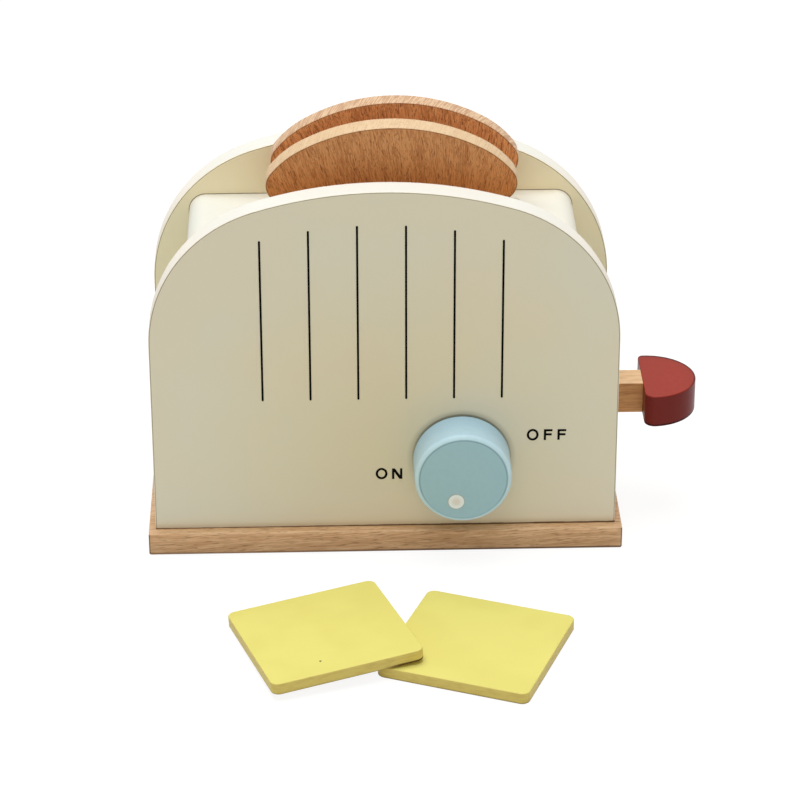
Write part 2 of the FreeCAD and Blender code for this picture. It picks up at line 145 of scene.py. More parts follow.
def joined(tree, *values):
    node = addNode(tree, "ShaderNodeCombineXYZ")
    feed(tree, node.inputs, values)
    return node.outputs[0]


def lengthOf(tree, *values):     # distance from the middle, given along two or three axes
    node = addNode(tree, "ShaderNodeVectorMath", operation="LENGTH")
    tree.links.new(joined(tree, *values), node.inputs[0])
    return node.outputs["Value"]


def fromPoint(tree, spot, point, axes):     # distance from a point, measured along the named axes only
    away = [minus(tree, along(tree, spot, axis), getattr(point, axis)) for axis in axes]
    return lengthOf(tree, *away)


def looking(tree, axis):     # 1 where the surface looks along the axis, -1 where it looks against it
    place = addNode(tree, "ShaderNodeTexCoord")
    return along(tree, place.outputs["Normal"], axis)


def facing(tree, axis):     # 1 where it looks along the axis either way, 0 where square to it
    return calc(tree, "ABSOLUTE", looking(tree, axis))


def grain(tree, spot, size, detail=2.0, roughness=0.5, warp=0.0):     # noise, its marks of that size
    stretch = addNode(tree, "ShaderNodeVectorMath", operation="DIVIDE")
    feed(tree, stretch.inputs, (spot, size))
    noise = addNode(tree, "ShaderNodeTexNoise", Scale=1.0, Detail=detail, Roughness=roughness,
                    Distortion=warp)
    tree.links.new(stretch.outputs[0], noise.inputs["Vector"])
    return noise.outputs["Fac"]


def ringAt(tree, distance, radius, halfWidth):     # 1 on a ring of that radius, fading to 0 on both sides
    return fade(tree, calc(tree, "ABSOLUTE", minus(tree, distance, radius)), 0.0, halfWidth)


def newFinish(name, specular=0.5, roughness=0.5, metallic=0.0):
    material = bpy.data.materials.new(name)
    material.use_nodes = True
    tree = material.node_tree
    shader = tree.nodes["Principled BSDF"]
    shader.inputs["Specular IOR Level"].default_value = specular
    shader.inputs["Roughness"].default_value = roughness
    shader.inputs["Metallic"].default_value = metallic
    return material, tree, shader


def useColour(tree, shader, colour):
    tree.links.new(colour, shader.inputs["Base Color"])


def useRoughness(tree, shader, noise, roughness, swing):     # a noise moves it half the swing up and down
    tree.links.new(calc(tree, "MULTIPLY_ADD", noise, swing, roughness - swing / 2),
                   shader.inputs["Roughness"])


def useBump(tree, shader, height, depth):     # depth in mm of the full height
    bump = addNode(tree, "ShaderNodeBump", Strength=1.0, Distance=depth * mm)
    tree.links.new(height, bump.inputs["Height"])
    tree.links.new(bump.outputs[0], shader.inputs["Normal"])


def dress(material, *names):
    for name in names:
        for slot in nodes[name].material_slots:
            slot.material = material


# camera, floor and light

cameraSet = {
    "place": (-0.02597, -1.21474, 0.67699),
    "pitch": 27.328,        # degrees below level
    "yaw": 1.558,           # degrees towards +X
    "roll": -0.129,
    "lens": 147.09,
    "sensor": 36.0,
    "nearest": 0.05,
}


def makeCamera(settings):
    data = bpy.data.cameras.new("camera")
    data.lens = settings["lens"]
    data.sensor_width = settings["sensor"]
    data.sensor_fit = "HORIZONTAL"
    data.clip_start = settings["nearest"]
    camera = bpy.data.objects.new("camera", data)
    bpy.context.scene.collection.objects.link(camera)
    yaw, pitch, roll = (math.radians(settings[k]) for k in ("yaw", "pitch", "roll"))
    turn = Matrix.Rotation(-yaw, 4, "Z") @ Matrix.Rotation(math.pi / 2 - pitch, 4, "X")
    turn = turn @ Matrix.Rotation(roll, 4, "Z")
    camera.matrix_world = Matrix.Translation(settings["place"]) @ turn
    bpy.context.scene.camera = camera


studioSet = {
    "floorHalf": 3.0,
    "floorColour": (0.73, 0.72, 0.70),
    "floorShadowShare": 0.25,          # how much of the floor's own shading the camera sees
    "floorGlow": 0.88,
    "worldColour": (1.0, 0.97, 0.88),
    "worldStrength": 0.39,
    "backdrop": (1.0, 1.0, 1.0),       # what the camera sees past the floor
    "lampSize": 1.6,
    "lampPlace": (-0.1, 0.15, 1.9),
    "lampAim": (0.0, 0.0, 0.05),
    "lampColour": (0.86, 0.94, 1.0),
    "lampPower": 33.5,
    "fillSize": 1.4,
    "fillPlace": (-0.1, -1.9, 0.9),
    "fillAim": (0.0, 0.0, 0.06),
    "fillColour": (1.0, 0.94, 0.82),
    "fillPower": 4.6,
}


def seenDirectly(tree):     # 1 for what the camera, a mirror or glass sees
    path = addNode(tree, "ShaderNodeLightPath")
    rays = [path.outputs[name] for name in ("Is Camera Ray", "Is Glossy Ray", "Is Transmission Ray")]
    return largest(tree, *rays)


def makeFloor(settings):
    shape = bmesh.new()
    bmesh.ops.create_grid(shape, x_segments=1, y_segments=1, size=settings["floorHalf"])
    floor = pieceFrom("floor", shape)
    material = bpy.data.materials.new("floorWhite")
    material.use_nodes = True
    tree = material.node_tree
    tree.nodes.clear()
    shade = [c * settings["floorShadowShare"] for c in settings["floorColour"]]
    plain = addNode(tree, "ShaderNodeBsdfDiffuse", Color=(*settings["floorColour"], 1))
    faint = addNode(tree, "ShaderNodeBsdfDiffuse", Color=(*shade, 1))
    glow = addNode(tree, "ShaderNodeEmission", Strength=settings["floorGlow"])
    seen = addNode(tree, "ShaderNodeAddShader")
    feed(tree, seen.inputs, (faint.outputs[0], glow.outputs[0]))
    mix = addNode(tree, "ShaderNodeMixShader")
    feed(tree, mix.inputs, (seenDirectly(tree), plain.outputs[0], seen.outputs[0]))
    out = addNode(tree, "ShaderNodeOutputMaterial")
    tree.links.new(mix.outputs[0], out.inputs["Surface"])
    floor.data.materials.append(material)


def makeLamp(name, settings):
    data = bpy.data.lights.new(name, "AREA")
    data.shape = "SQUARE"
    data.size = settings[name + "Size"]
    data.energy = settings[name + "Power"]
    data.color = settings[name + "Colour"]
    lamp = bpy.data.objects.new(name, data)
    bpy.context.scene.collection.objects.link(lamp)
    place = Vector(settings[name + "Place"])
    turn = (Vector(settings[name + "Aim"]) - place).to_track_quat("-Z", "Y")
    lamp.matrix_world = Matrix.Translation(place) @ turn.to_matrix().to_4x4()


def makeWorld(settings):
    world = bpy.data.worlds.new("studio")
    bpy.context.scene.world = world
    world.use_nodes = True
    tree = world.node_tree
    tree.nodes.clear()
    soft = addNode(tree, "ShaderNodeBackground", Strength=settings["worldStrength"],
                   Color=(*settings["worldColour"], 1))
    white = addNode(tree, "ShaderNodeBackground", Strength=1.0, Color=(*settings["backdrop"], 1))
    mix = addNode(tree, "ShaderNodeMixShader")
    feed(tree, mix.inputs, (seenDirectly(tree), soft.outputs[0], white.outputs[0]))
    out = addNode(tree, "ShaderNodeOutputWorld")
    tree.links.new(mix.outputs[0], out.inputs["Surface"])


makeCamera(cameraSet)
makeFloor(studioSet)
makeLamp("lamp", studioSet)
makeLamp("fill", studioSet)
makeWorld(studioSet)
bpy.context.scene.view_settings.view_transform = "Standard"
print("camera, floor and light ready")


# In the dictionaries below lengths are in mm, a Share is how much of a colour shows, and a Step is the pair
# of values where a mask begins and ends: of noise, or of how far a surface faces one way, from 0 to 1.

# cream paint of the panels and the casing

creamSet = {
    "panelColour": (235, 228, 207),
    "middleBounceColour": (232, 219, 190),    # painted warm bounce light, stronger towards the front panel's middle
    "middle": (10.0, 45.0),            # across and up
    "middleReach": (98.0, 120.0),
    # the rear panel's cream is painted lighter than the front's: painted bounce light
    "rearColour": (249, 240, 206),
    "casingColour": (235, 229, 215),
    "upperEdgeHighlight": (239, 233, 222),      # painted highlight: the boards' edges are painted whiter, most where they slope
    "slopingEdgeHighlight": (254, 243, 230),
    "slopeStep": (0.6, 0.97),
    "edgeStep": (0.3, 0.8),
    "coolDrift": (0.985, 1.0, 1.01),   # faint drift of the tone over a board
    "warmDrift": (1.01, 0.99, 0.97),
    "driftSize": (60.0, 60.0, 45.0),
    "driftStep": (0.35, 0.65),
    # dark of the grain showing through, and of the painted shade lines
    "shadeAndGrainColour": (112, 92, 62),
    "shadeLineHalf": 0.45,                  # half the width of the painted shadow line where boards meet
    "casingShadeShare": 0.7,
    "casingCorner": 7.0,               # round of the casing's top corners
    "casingReach": (0.5, 3.0),         # the casing's painted shadow outline fades here, behind the rear panel's inner face
    "rimStartStep": (0.80, 0.90),      # painted shade line along a board's rounded edge
    "rimEndStep": (0.985, 0.998),
    "rimShare": 0.8,
    "footShadeColour": (90, 60, 22),        # painted contact shade: a ragged dark line above the base
    "footHeight": 0.6,
    "footSolid": 0.6,                  # of its height
    "footShare": 0.9,
    "raggedSize": (6.0, 6.0, 6.0),
    "raggedStep": (0.35, 0.62),
    "raggedLeast": 0.75,               # of its height, where it is thinnest
    "footAcross": (-70.0, 40.0),       # darker towards the lever's end
    "footAmount": (0.75, 1.25),
    "creaseShadeColour": (152, 114, 64),     # and fainter painted shade over it
    "creaseShadeHeight": 3.2,
    "creaseShadeShare": 0.26,
    "knobShadeColour": (84, 90, 74),         # painted shadow of the knob on the panel
    "knobShadeSoft": (0.3, 3.2),             # outside the knob
    "knobShadeSoftShare": 0.36,
    "knobShadeTight": (0.3, 1.0),
    "knobShadeTightShare": 0.7,
    "knobShadeHeights": (-8.0, 16.0),        # over the knob's axis; it shows most above
    "knobShadeBelowShare": 0.35,
    "fibreSize": (0.9, 0.9, 14.0),     # grain that just shows through the paint
    "fibreStep": (0.55, 0.8),
    "fibreShare": 0.015,
    "peelSize": (1.6, 1.6, 1.6),
    "peelRelief": 0.5,                 # of the fibres' relief
    "depth": 0.01,
    "roughness": 0.52,
    "roughSwing": 0.12,
    "specular": 0.35,
}


def bounceWarmed(tree, spot, colour, look):     # painted warm bounce light on the panel, stronger towards its middle
    away = [calc(tree, "DIVIDE", minus(tree, along(tree, spot, axis), centre), reach)
            for axis, centre, reach in zip("xz", look["middle"], look["middleReach"])]
    return mixed(tree, fade(tree, lengthOf(tree, *away), 0.0, 1.0), colour, look["middleBounceColour"])


def makeCream(name, colour, look, paintedShade, bounceLit=False, litEdges=True):
    material, tree, shader = newFinish(name, look["specular"])
    spot = spotInMillimetres(tree)
    paint = bounceWarmed(tree, spot, colour, look) if bounceLit else linear(colour)
    drift = grain(tree, spot, look["driftSize"], detail=1.0)
    warmth = between(tree, drift, *look["driftStep"])
    tint = mixed(tree, warmth, look["coolDrift"], look["warmDrift"], raw=True)
    paint = mixed(tree, 1.0, paint, tint, "MULTIPLY")
    fibre = grain(tree, spot, look["fibreSize"], detail=3.0, roughness=0.6)
    fibreMask = between(tree, fibre, *look["fibreStep"], 0.0, look["fibreShare"])
    paint = mixed(tree, fibreMask, paint, look["shadeAndGrainColour"])
    toFront = facing(tree, "y")
    # painted highlight on the boards' rounded edges
    if litEdges:
        slope = between(tree, facing(tree, "z"), *look["slopeStep"])
        edge = mixed(tree, slope, look["slopingEdgeHighlight"], look["upperEdgeHighlight"])
        paint = mixed(tree, between(tree, toFront, *look["edgeStep"]), edge, paint)
    # painted shade line along the rounded edge
    rim = times(tree, between(tree, toFront, *look["rimStartStep"]),
                fade(tree, toFront, *look["rimEndStep"]), look["rimShare"])
    paint = mixed(tree, rim, paint, look["shadeAndGrainColour"])
    # each board's painted shade and painted shadow lines
    for mask, dark in paintedShade(tree, spot, look):
        paint = mixed(tree, mask, paint, dark)
    useColour(tree, shader, paint)
    peel = grain(tree, spot, look["peelSize"])
    useBump(tree, shader, calc(tree, "MULTIPLY_ADD", peel, look["peelRelief"], fibre), look["depth"])
    useRoughness(tree, shader, drift, look["roughness"], look["roughSwing"])
    return material


def footShade(tree, spot, look):     # painted contact shade: a ragged dark line where a panel stands on the base, fading up above it
    height = minus(tree, along(tree, spot, "z"), boxOf("front_panel")[0].z)
    ragged = grain(tree, spot, look["raggedSize"], roughness=0.6)
    broken = between(tree, ragged, *look["raggedStep"], look["raggedLeast"], 1.0)
    fuller = between(tree, along(tree, spot, "x"), *look["footAcross"], *look["footAmount"])
    reach = times(tree, broken, fuller, look["footHeight"])
    creaseShade = fade(tree, height, 0.0, look["creaseShadeHeight"], look["creaseShadeShare"])
    contactShade = fade(tree, height, times(tree, reach, look["footSolid"]), reach, look["footShare"])
    return [(creaseShade, look["creaseShadeColour"]), (contactShade, look["footShadeColour"])]


def frontShade(tree, spot, look):     # painted shade at the panel's foot, and painted shadow round the knob
    low, high = boxOf("knob")
    middle = (low + high) / 2
    past = minus(tree, fromPoint(tree, spot, middle, "xz"), (high.x - low.x) / 2)
    soft = fade(tree, past, *look["knobShadeSoft"], look["knobShadeSoftShare"])
    tight = fade(tree, past, *look["knobShadeTight"], look["knobShadeTightShare"])
    over = minus(tree, along(tree, spot, "z"), middle.z)
    higher = between(tree, over, *look["knobShadeHeights"], look["knobShadeBelowShare"], 1.0)
    knobShade = times(tree, largest(tree, soft, tight), higher)
    return [(knobShade, look["knobShadeColour"])] + footShade(tree, spot, look)


def casingShade(tree, spot, look):     # a thin painted shadow line where the casing meets the panels
    fromMiddle = calc(tree, "ABSOLUTE", along(tree, spot, "y"))
    away = minus(tree, boxOf("top_board")[1].y, fromMiddle)
    return [(fade(tree, away, 0.0, look["shadeLineHalf"], look["casingShadeShare"]), look["shadeAndGrainColour"])]


def rearShade(tree, spot, look):     # painted shadow of the casing's outline on the rear panel, and painted shade at the panel's foot
    corner = look["casingCorner"]
    edge = boxOf("top_board")[1]
    x, y, z = parts(tree, spot)
    outX = largest(tree, minus(tree, calc(tree, "ABSOLUTE", x), edge.x - corner), 0.0)
    outZ = largest(tree, minus(tree, z, edge.z - corner), 0.0)
    outline = ringAt(tree, lengthOf(tree, outX, outZ), corner, look["shadeLineHalf"])
    nearFace = fade(tree, minus(tree, y, boxOf("rear_panel")[0].y), *look["casingReach"])
    return [(times(tree, outline, nearFace), look["shadeAndGrainColour"])] + footShade(tree, spot, look)


dress(makeCream("creamFront", creamSet["panelColour"], creamSet, frontShade, bounceLit=True), "front_panel")
dress(makeCream("creamRear", creamSet["rearColour"], creamSet, rearShade), "rear_panel")
dress(makeCream("creamCasing", creamSet["casingColour"], creamSet, casingShade, litEdges=False),
      "top_board", "left_side_board", "right_side_board")
print("cream paint ready")


# natural beech of the base, the lever bar and the small turned pieces

beechSet = {
    "pale": (230, 190, 148),
    "deep": (208, 162, 118),
    "sidePale": (238, 196, 152),       # on faces that look to the front and back, painted for how light falls on them
    "sideDeep": (208, 160, 115),
    "sideStep": (0.45, 0.95),
    "edge": (246, 208, 168),           # painted highlight on the rounding between the two
    "edgeStartStep": (0.0, 0.1),
    "edgeEndStep": (0.3, 0.6),
    "highlightShare": 0.6,
    "bandSize": (34.0, 1.5),           # broad stripes, along and across the grain
    "fibreSize": (11.0, 0.42),
    "fibreWeight": 0.6,                # of the fibres against the bands
    "stripeStep": (0.40, 0.60),
    "fleck": (124, 80, 44),
    "fleckSize": (5.0, 0.36),
    "fleckStep": (0.58, 0.68),
    "fleckShare": 0.5,
    "slope": 0.06,                     # rise of the grain for each mm along the board
    "baseShadeColour": (84, 56, 32),       # painted shade: a line along the bottom edge, darker towards the lever's end
    "baseShadeHeights": (0.975, 1.5),
    "baseShadeShare": 0.85,
    "baseShadeAcross": (-90.0, 70.0),
    "baseShadeAmount": (0.7, 1.0),
    "underStep": (0.9, 0.99),          # the painted shade leaves the underside out
    "lowShadeHeights": (1.5, 9.0),         # painted shade low down, fainter higher up
    "lowShadeShare": 0.16,
    "cornerStep": (0.2, 0.42),         # painted shade on the upright corners
    "cornerShare": 0.75,
    "contactShadeColour": (96, 64, 26),        # painted contact shade along the panels' feet
    "contactShadeReach": (0.22, 0.55),         # past the panel's face
    "contactShadeStart": (-0.3, -0.1),         # it begins just inside that face
    "contactShadeAcross": (-70.0, 40.0),
    "contactShadeAmount": (0.3, 0.85),
    "topStep": (0.8, 0.95),
    "depth": 0.03,
    "roughness": 0.46,
    "roughSwing": 0.16,
    "specular": 0.3,
}
# the bar's front and back faces are painted darker, as painted shade
leverSet = dict(beechSet, slope=0.0, pale=(236, 194, 148), deep=(222, 176, 130), fleckShare=0.35,
                sidePale=(216, 160, 104), sideDeep=(198, 138, 84), fleck=(132, 84, 46))


def alongGrain(axis, length, width):     # size of a mark on each axis
    return [length if name == axis else width for name in "xyz"]


def baseShading(tree, spot, wood, look):     # painted shade on the base, and painted contact shade along the panels' feet
    x, y, z = parts(tree, spot)
    toTop = facing(tree, "z")
    line = times(tree, fade(tree, z, *look["baseShadeHeights"], look["baseShadeShare"]),
                 between(tree, x, *look["baseShadeAcross"], *look["baseShadeAmount"]),
                 fade(tree, toTop, *look["underStep"]))
    dull = fade(tree, z, *look["lowShadeHeights"], look["lowShadeShare"])
    turning = times(tree, facing(tree, "x"), facing(tree, "y"))
    corner = between(tree, turning, *look["cornerStep"], 0.0, look["cornerShare"])
    wood = mixed(tree, largest(tree, line, dull, corner), wood, look["baseShadeColour"])
    past = minus(tree, calc(tree, "ABSOLUTE", y), boxOf("rear_panel")[1].y)
    contactShade = times(tree, fade(tree, past, *look["contactShadeReach"]), between(tree, past, *look["contactShadeStart"]),
                 between(tree, x, *look["contactShadeAcross"], *look["contactShadeAmount"]),
                 between(tree, toTop, *look["topStep"]))
    return mixed(tree, contactShade, wood, look["contactShadeColour"])


def makeBeech(name, axis, look, baseShade=False):
    material, tree, shader = newFinish(name, look["specular"])
    spot = spotInMillimetres(tree)
    x, y, z = parts(tree, spot)
    run = joined(tree, x, y, calc(tree, "MULTIPLY_ADD", x, -look["slope"], z))
    band = grain(tree, run, alongGrain(axis, *look["bandSize"]), warp=0.4)
    fibre = grain(tree, run, alongGrain(axis, *look["fibreSize"]), detail=3.0, roughness=0.65)
    mark = grain(tree, run, alongGrain(axis, *look["fleckSize"]), detail=1.0, warp=0.2)
    stripe = between(tree, blend(tree, fibre, band, look["fibreWeight"]), *look["stripeStep"])
    # lit and shaded copies: the top and the front and back faces get their own painted colours
    top = mixed(tree, stripe, look["pale"], look["deep"])
    side = mixed(tree, stripe, look["sidePale"], look["sideDeep"])
    toFront = facing(tree, "y")
    wood = mixed(tree, between(tree, toFront, *look["sideStep"]), top, side)
    # painted highlight on the rounding
    rounding = times(tree, between(tree, toFront, *look["edgeStartStep"]),
                     fade(tree, toFront, *look["edgeEndStep"]), look["highlightShare"])
    wood = mixed(tree, rounding, wood, look["edge"])
    flecks = between(tree, mark, *look["fleckStep"], 0.0, look["fleckShare"])
    wood = mixed(tree, flecks, wood, look["fleck"])
    if baseShade:
        wood = baseShading(tree, spot, wood, look)
    useColour(tree, shader, wood)
    useBump(tree, shader, minus(tree, fibre, flecks), look["depth"])
    useRoughness(tree, shader, fibre, look["roughness"], look["roughSwing"])
    return material


dress(makeBeech("beechBase", "x", beechSet, baseShade=True), "base_board")
dress(makeBeech("beechLever", "x", leverSet), "lever_bar", "handle_dowel", "tray_centre_rib")
dress(makeBeech("beechPins", "y", beechSet), "front_dowel_pins", "rear_dowel_pins", "knob_axle")
print("beech ready")


# bread slices: toasted faces, pale edges

breadSet = {
    "faceTop": (221, 159, 103),
    "faceLow": (237, 155, 86),
    "grade": (138.0, 176.0),           # heights above the ground between the two
    "bandSize": (5.0, 5.0, 40.0),
    "fibreSize": (0.5, 0.5, 5.0),
    "fibreWeight": 0.75,               # of the fibres against the bands
    "faceDark": (180, 108, 56),
    "stripeStep": (0.44, 0.60),
    "stripeShare": 0.7,
    "fleck": (140, 72, 32),
    "fleckSize": (0.6, 0.6, 3.4),
    "fleckStep": (0.53, 0.66),
    "fleckShare": 0.72,
    "leanAtMiddle": 0.16,              # sideways run of the grain for each mm of height
    "leanPerWidth": 0.006,             # and its change for each mm to the left
    "rim": (96, 48, 18),               # darker line where a face meets the edge
    "rimStartStep": (0.75, 0.88),
    "rimEndStep": (0.975, 0.995),
    "rimShare": 0.65,
    "edgePale": (230, 196, 155),
    "edgeDeep": (212, 170, 126),
    "edgeStep": (0.72, 0.90),
    "hatchSize": (0.55, 12.0, 12.0),   # fine lines across the edge
    "hatchStep": (0.42, 0.58),
    "hatchShare": 0.5,
    "hatchSlant": 0.22,
    "steepStep": (0.15, 0.45),         # they fade where the edge is steep
    "steepShare": 0.25,
    "edgeSpeck": (158, 122, 92),
    "speckSize": (1.1, 0.5, 0.6),
    "speckStep": (0.56, 0.72),
    "speckShare": 0.6,
    "depth": 0.035,
    "roughness": 0.5,
    "roughSwing": 0.2,
    "specular": 0.25,
}
rearBreadSet = dict(breadSet, faceTop=(252, 180, 116), faceLow=(248, 174, 106), faceDark=(186, 108, 60),
                    fleckShare=0.8, edgePale=(231, 193, 155), edgeDeep=(190, 140, 102),
                    hatchShare=0.85, hatchSlant=0.3)


def breadEdge(tree, spot, look):     # wood cut across its grain, with slanting lines and specks
    x, y, z = parts(tree, spot)
    slant = joined(tree, calc(tree, "MULTIPLY_ADD", y, -look["hatchSlant"], x), y, z)
    lines = grain(tree, slant, look["hatchSize"], roughness=0.6)
    lineMask = between(tree, lines, *look["hatchStep"], 0.0, look["hatchShare"])
    flatter = between(tree, facing(tree, "z"), *look["steepStep"], look["steepShare"], 1.0)
    edge = mixed(tree, times(tree, lineMask, flatter), look["edgePale"], look["edgeDeep"])
    specks = grain(tree, spot, look["speckSize"], roughness=0.6)
    speckMask = between(tree, specks, *look["speckStep"], 0.0, look["speckShare"])
    return mixed(tree, speckMask, edge, look["edgeSpeck"])


def makeBread(name, look):
    material, tree, shader = newFinish(name, look["specular"])
    spot = spotInMillimetres(tree)
    x, y, z = parts(tree, spot)
    lean = minus(tree, look["leanAtMiddle"], times(tree, x, look["leanPerWidth"]))
    height = minus(tree, z, look["grade"][1])
    fanned = joined(tree, calc(tree, "MULTIPLY_ADD", height, lean, x), y, z)
    band = grain(tree, fanned, look["bandSize"], warp=0.3)
    fibre = grain(tree, fanned, look["fibreSize"], detail=3.0, roughness=0.6, warp=0.9)
    mark = grain(tree, fanned, look["fleckSize"], warp=1.4)
    face = mixed(tree, between(tree, z, *look["grade"]), look["faceLow"], look["faceTop"])
    stripes = blend(tree, fibre, band, look["fibreWeight"])
    stripeMask = between(tree, stripes, *look["stripeStep"], 0.0, look["stripeShare"])
    face = mixed(tree, stripeMask, face, look["faceDark"])
    fleckMask = between(tree, mark, *look["fleckStep"], 0.0, look["fleckShare"])
    face = mixed(tree, fleckMask, face, look["fleck"])
    toFront = facing(tree, "y")
    wood = mixed(tree, between(tree, toFront, *look["edgeStep"]), breadEdge(tree, spot, look), face)
    rim = times(tree, between(tree, toFront, *look["rimStartStep"]),
                fade(tree, toFront, *look["rimEndStep"], look["rimShare"]))
    useColour(tree, shader, mixed(tree, rim, wood, look["rim"]))
    useBump(tree, shader, minus(tree, fibre, mark), look["depth"])
    useRoughness(tree, shader, fibre, look["roughness"], look["roughSwing"])
    return material


dress(makeBread("toastFront", breadSet), "bread_slice_front")
dress(makeBread("toastRear", rearBreadSet), "bread_slice_rear")
print("bread ready")


# satin paints; all have the same faint brushed-on unevenness

satinSet = {
    "peelSize": (1.8, 1.8, 1.8),
    "peelStep": (0.4, 0.7),
    "depth": 0.012,
    "roughSwing": 0.14,
}


def useSatin(tree, shader, spot, look):
    peel = grain(tree, spot, satinSet["peelSize"], detail=3.0, roughness=0.6)
    useBump(tree, shader, peel, satinSet["depth"])
    useRoughness(tree, shader, peel, look["roughness"], satinSet["roughSwing"])
    return peel


# light blue knob

knobSet = {
    "colour": (184, 218, 238),
    # the flat face is painted darker than the side, as painted shade
    "faceColour": (165, 203, 221),
    "faceStep": (0.75, 0.97),
    "highlightColour": (208, 236, 246),     # painted highlight on the rounding and near it
    "highlightShare": 0.8,
    "edgeStartStep": (0.02, 0.4),
    "edgeEndStep": (0.92, 0.99),
    "highlightReach": (3.0, 12.0),          # painted highlight on the top, fading this far behind the flat face
    "highlightReachShare": 0.45,
    "highlightStep": (0.9, 0.97),
    "edgeHeights": (-16.0, -4.0),      # over the axis; it shows less below
    "edgeBelowShare": 0.55,
    "darkBlue": (106, 142, 160),         # darker blue of the painted shade ring round the flat face and of the brush marks
    "shadeRingInset": 2.05,               # in from the knob's side
    "shadeRingHalf": 0.5,
    "shadeRingReach": (0.3, 1.2),         # behind the flat face
    "shadeRingHeights": (-14.0, -4.0),
    "shadeRingShare": (0.15, 0.65),
    "peelShare": 0.05,
    "roughness": 0.36,
    "specular": 0.45,
}


def makeKnobPaint(look):
    material, tree, shader = newFinish("knobBlue", look["specular"])
    spot = spotInMillimetres(tree)
    peel = useSatin(tree, shader, spot, look)
    low, high = boxOf("knob")
    middle = (low + high) / 2
    behind = minus(tree, along(tree, spot, "y"), low.y)     # the flat face
    over = minus(tree, along(tree, spot, "z"), middle.z)
    toFront = facing(tree, "y")
    faceMask = between(tree, toFront, *look["faceStep"])
    paint = mixed(tree, faceMask, look["colour"], look["faceColour"])
    # painted highlight on the top near the front and on the rounding, most above
    wearAndHighlight = times(tree, fade(tree, behind, *look["highlightReach"], look["highlightReachShare"]),
                 fade(tree, toFront, *look["highlightStep"]))
    rounding = times(tree, between(tree, toFront, *look["edgeStartStep"]),
                     fade(tree, toFront, *look["edgeEndStep"]))
    upper = between(tree, over, *look["edgeHeights"], look["edgeBelowShare"], 1.0)
    highlight = times(tree, largest(tree, wearAndHighlight, rounding), upper, look["highlightShare"])
    paint = mixed(tree, highlight, paint, look["highlightColour"])
    # painted shade: a darker ring round the flat face, strongest above
    shadeRingRadius = (high.x - low.x) / 2 - look["shadeRingInset"]
    ring = ringAt(tree, fromPoint(tree, spot, middle, "xz"), shadeRingRadius, look["shadeRingHalf"])
    darkBlue = times(tree, ring, between(tree, over, *look["shadeRingHeights"], *look["shadeRingShare"]),
                   fade(tree, behind, *look["shadeRingReach"]))
    paint = mixed(tree, darkBlue, paint, look["darkBlue"])
    peelMask = between(tree, peel, *satinSet["peelStep"], 0.0, look["peelShare"])
    useColour(tree, shader, mixed(tree, peelMask, paint, look["darkBlue"]))
    return material


dress(makeKnobPaint(knobSet), "knob")
print("knob ready")


# dark red handle

handleSet = {
    # the top and the sides are lit and shaded copies of one red: painted light and shade
    "topColour": (157, 52, 38),
    "sideColour": (119, 41, 36),
    "topStep": (0.5, 0.95),
    "rimShadeColour": (58, 8, 10),          # painted shade along the far edge of the top and along the lower edge
    "rimShare": 0.85,
    "rimWidth": (1.0, 1.9),            # at the side and at the back
    "rimSolid": 0.6,                   # of its width
    "rimTopStep": (0.3, 0.6),
    "round": 19.5,                     # radius of the round side
    "shadeReach": (1.5, 6.0),          # faint shade inside the rim
    "shadeShare": 0.12,
    "farReach": (-14.0, -2.0),         # behind the round side's middle, where the two begin
    "lowerHeights": (0.9, 1.3),
    "underStep": (0.9, 0.99),
    "peelShare": 0.12,
    "roughness": 0.34,
    "specular": 0.10,
}


def makeHandlePaint(look):
    material, tree, shader = newFinish("handleRed", look["specular"])
    spot = spotInMillimetres(tree)
    peel = useSatin(tree, shader, spot, look)
    low, high = boxOf("lever_handle")
    centre = Vector((high.x - look["round"], (low.y + high.y) / 2, 0))     # of the round side
    behind = minus(tree, along(tree, spot, "y"), centre.y)
    inward = minus(tree, look["round"], fromPoint(tree, spot, centre, "xy"))     # from the round side
    toTop = facing(tree, "z")
    topMask = between(tree, toTop, *look["topStep"])
    paint = mixed(tree, topMask, look["sideColour"], look["topColour"])
    # painted shade along the far edge of the top and the lower edge
    width = between(tree, behind, 0.0, look["round"], *look["rimWidth"])
    rim = fade(tree, calc(tree, "DIVIDE", inward, width), look["rimSolid"], 1.0)
    shade = fade(tree, inward, *look["shadeReach"], look["shadeShare"])
    above = times(tree, largest(tree, rim, shade), between(tree, behind, *look["farReach"]),
                  between(tree, toTop, *look["rimTopStep"], 0.0, look["rimShare"]))
    height = minus(tree, along(tree, spot, "z"), low.z)
    below = times(tree, fade(tree, height, *look["lowerHeights"], look["rimShare"]),
                  fade(tree, toTop, *look["underStep"]))
    paint = mixed(tree, largest(tree, above, below), paint, look["rimShadeColour"])
    peelMask = between(tree, peel, *satinSet["peelStep"], 0.0, look["peelShare"])
    useColour(tree, shader, mixed(tree, peelMask, paint, look["sideColour"]))
    return material


dress(makeHandlePaint(handleSet), "lever_handle")
print("handle ready")


# yellow cheese slices

